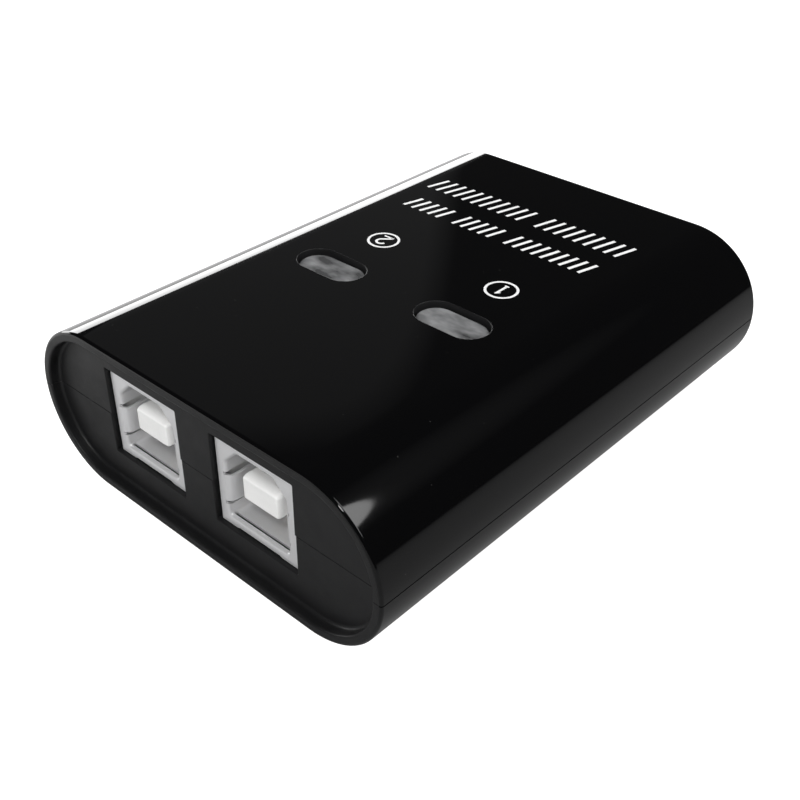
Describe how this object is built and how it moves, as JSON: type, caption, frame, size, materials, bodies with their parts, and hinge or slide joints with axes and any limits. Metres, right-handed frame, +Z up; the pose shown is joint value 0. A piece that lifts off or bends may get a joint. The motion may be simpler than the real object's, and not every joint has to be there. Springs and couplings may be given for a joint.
{
  "type": "two-way sharing switch",
  "caption": "Small manual sharing switch in a flat round-sided black case, with sockets at both ends, a latching push button and indicator windows.",
  "frame": {"origin": "on the surface that the feet stand on, at the middle of the width and midway between the front rim and the tip of the button", "axes": "+Z up; +Y from the front end with the two B sockets towards the rear end with the A socket and the button; +X to the right seen from the front"},
  "size_m": [0.055, 0.0746, 0.0214],
  "materials": {
    "case": "high-gloss moulded black, with fine-grained end panels and rims",
    "feet": "matt black rubber",
    "screws": "zinc plated",
    "board": "green solder mask",
    "socket_metal": "bright tin-plated sheet",
    "socket_plastic": "white moulded plastic",
    "contacts": "gold flashed",
    "switch_plastic": "black moulded plastic",
    "switch_metal": "bright plated steel",
    "tinned_pins": "tinned",
    "plunger": "white moulded plastic",
    "spring_wire": "bright spring wire",
    "button": "satin black moulded plastic",
    "led_body": "clear moulded resin",
    "spacer": "white moulded plastic",
    "lens": "cloudy translucent plastic",
    "capacitor_sleeve": "shrink sleeve",
    "resistor": "ceramic chip"
  },
  "bodies": {
    "case": {"top_shell": "case", "bottom_shell": "case", "rubber_feet": "feet", "case_screws": "screws", "circuit_board": "board", "b_socket_shell_1": "socket_metal", "b_socket_shell_2": "socket_metal", "a_socket_shell": "socket_metal", "b_socket_insulator_1": "socket_plastic", "b_socket_insulator_2": "socket_plastic", "a_socket_insulator": "socket_plastic", "b_socket_contacts_1": "contacts", "b_socket_contacts_2": "contacts", "a_socket_contacts": "contacts", "switch_housing": "switch_plastic", "switch_frame": "switch_metal", "switch_terminals": "tinned_pins", "led_leads_1": "tinned_pins", "led_leads_2": "tinned_pins", "return_spring": "spring_wire", "led_1": "led_body", "led_2": "led_body", "led_spacer_1": "spacer", "led_spacer_2": "spacer", "lens_1": "lens", "lens_2": "lens", "capacitor": "capacitor_sleeve", "chip_resistors": "resistor"},
    "button": {"button_cap": "button", "switch_plunger": "plunger", "contact_clips": "contacts"},
    "latch": {"latch_pin": "spring_wire"}
  },
  "joints": [
    {"name": "button_press", "type": "slide", "parent": "case", "child": "button", "axis": [0, -1, 0], "range_m": [0, 0.0022], "stiffness_N_per_m": 400, "springref_m": -0.003, "deforming": ["return_spring"]},
    {"name": "latch_swing", "type": "hinge", "parent": "case", "child": "latch", "pos_m": [-0.01, 0.019, 0.0137], "axis": [0, 0, -1], "range_deg": [0, 10]}
  ],
  "couplings": [
    {"joint": "latch_swing", "follows": "button_press", "rad_per_m": 79.3}
  ]
}
